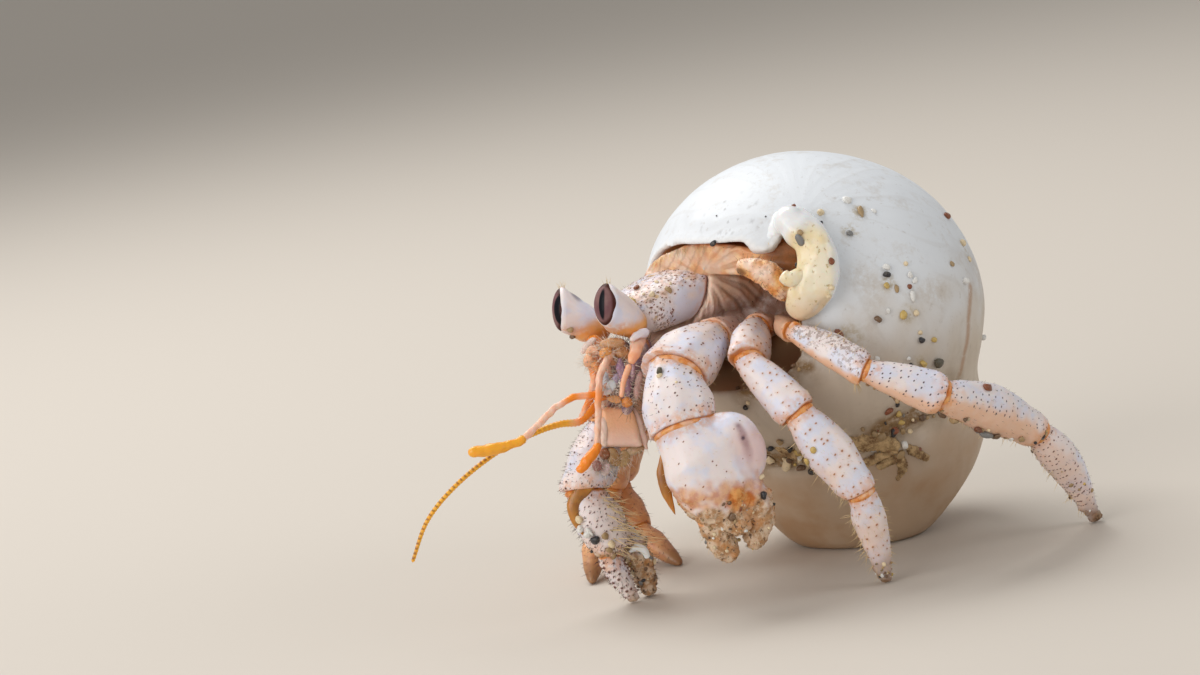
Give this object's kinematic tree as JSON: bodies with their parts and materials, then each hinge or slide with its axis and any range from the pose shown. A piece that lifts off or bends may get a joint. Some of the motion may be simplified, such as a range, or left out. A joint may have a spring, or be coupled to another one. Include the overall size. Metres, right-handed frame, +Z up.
{
  "type": "hermit crab figure",
  "caption": "Life-size land hermit crab walking in a round white snail shell, as a still museum figure.",
  "frame": {"origin": "middle of the footprint, on the floor the crab stands on", "axes": "+Z up from the floor, -X the way the crab walks (its body turned 35 degrees towards -Y), so its left side faces -Y"},
  "size_m": [0.0578, 0.0365, 0.0343],
  "materials": {
    "shell": "bleached, dull-glazed snail shell, browner towards the spire",
    "pearl": "cream porcelain gloss of the shell's inner lip",
    "plates": "pinkish white cuticle with small brown tubercles, satin",
    "soft_body": "tan-brown leathery cuticle",
    "feelers": "translucent orange cuticle",
    "mouthparts": "purple-brown hairy cuticle",
    "eye": "wet dark cornea"
  },
  "bodies": {
    "root": {"abdomen": "soft_body", "antenna_base_L": "feelers", "antenna_base_R": "feelers", "antenna_scale_L": "plates", "antenna_scale_R": "plates", "antenna_whip_L": "feelers", "antenna_whip_R": "feelers", "antennule_base_L": "feelers", "antennule_base_R": "feelers", "antennule_tip_L": "feelers", "antennule_tip_R": "feelers", "carapace_rear": "soft_body", "carapace_shield": "plates", "claw_major_carpus": "plates", "claw_major_finger": "plates", "claw_major_ischium": "plates", "claw_major_merus": "plates", "claw_major_palm": "plates", "claw_minor_carpus": "plates", "claw_minor_finger": "plates", "claw_minor_ischium": "plates", "claw_minor_merus": "plates", "claw_minor_palm": "plates", "eye_L": "eye", "eye_R": "eye", "eyestalk_L": "plates", "eyestalk_R": "plates", "leg_back_L_carpus": "plates", "leg_back_L_dactyl": "plates", "leg_back_L_ischium": "plates", "leg_back_L_merus": "plates", "leg_back_L_propodus": "plates", "leg_back_R_carpus": "plates", "leg_back_R_dactyl": "plates", "leg_back_R_ischium": "plates", "leg_back_R_merus": "plates", "leg_back_R_propodus": "plates", "leg_four_L": "feelers", "leg_four_R": "feelers", "leg_front_L_carpus": "plates", "leg_front_L_dactyl": "plates", "leg_front_L_ischium": "plates", "leg_front_L_merus": "plates", "leg_front_L_propodus": "plates", "leg_front_R_carpus": "plates", "leg_front_R_dactyl": "plates", "leg_front_R_ischium": "plates", "leg_front_R_merus": "plates", "leg_front_R_propodus": "plates", "maxilliped_L": "mouthparts", "maxilliped_R": "mouthparts", "shell": "shell", "shell_columella": "pearl", "thorax": "mouthparts"}
  },
  "joints": []
}
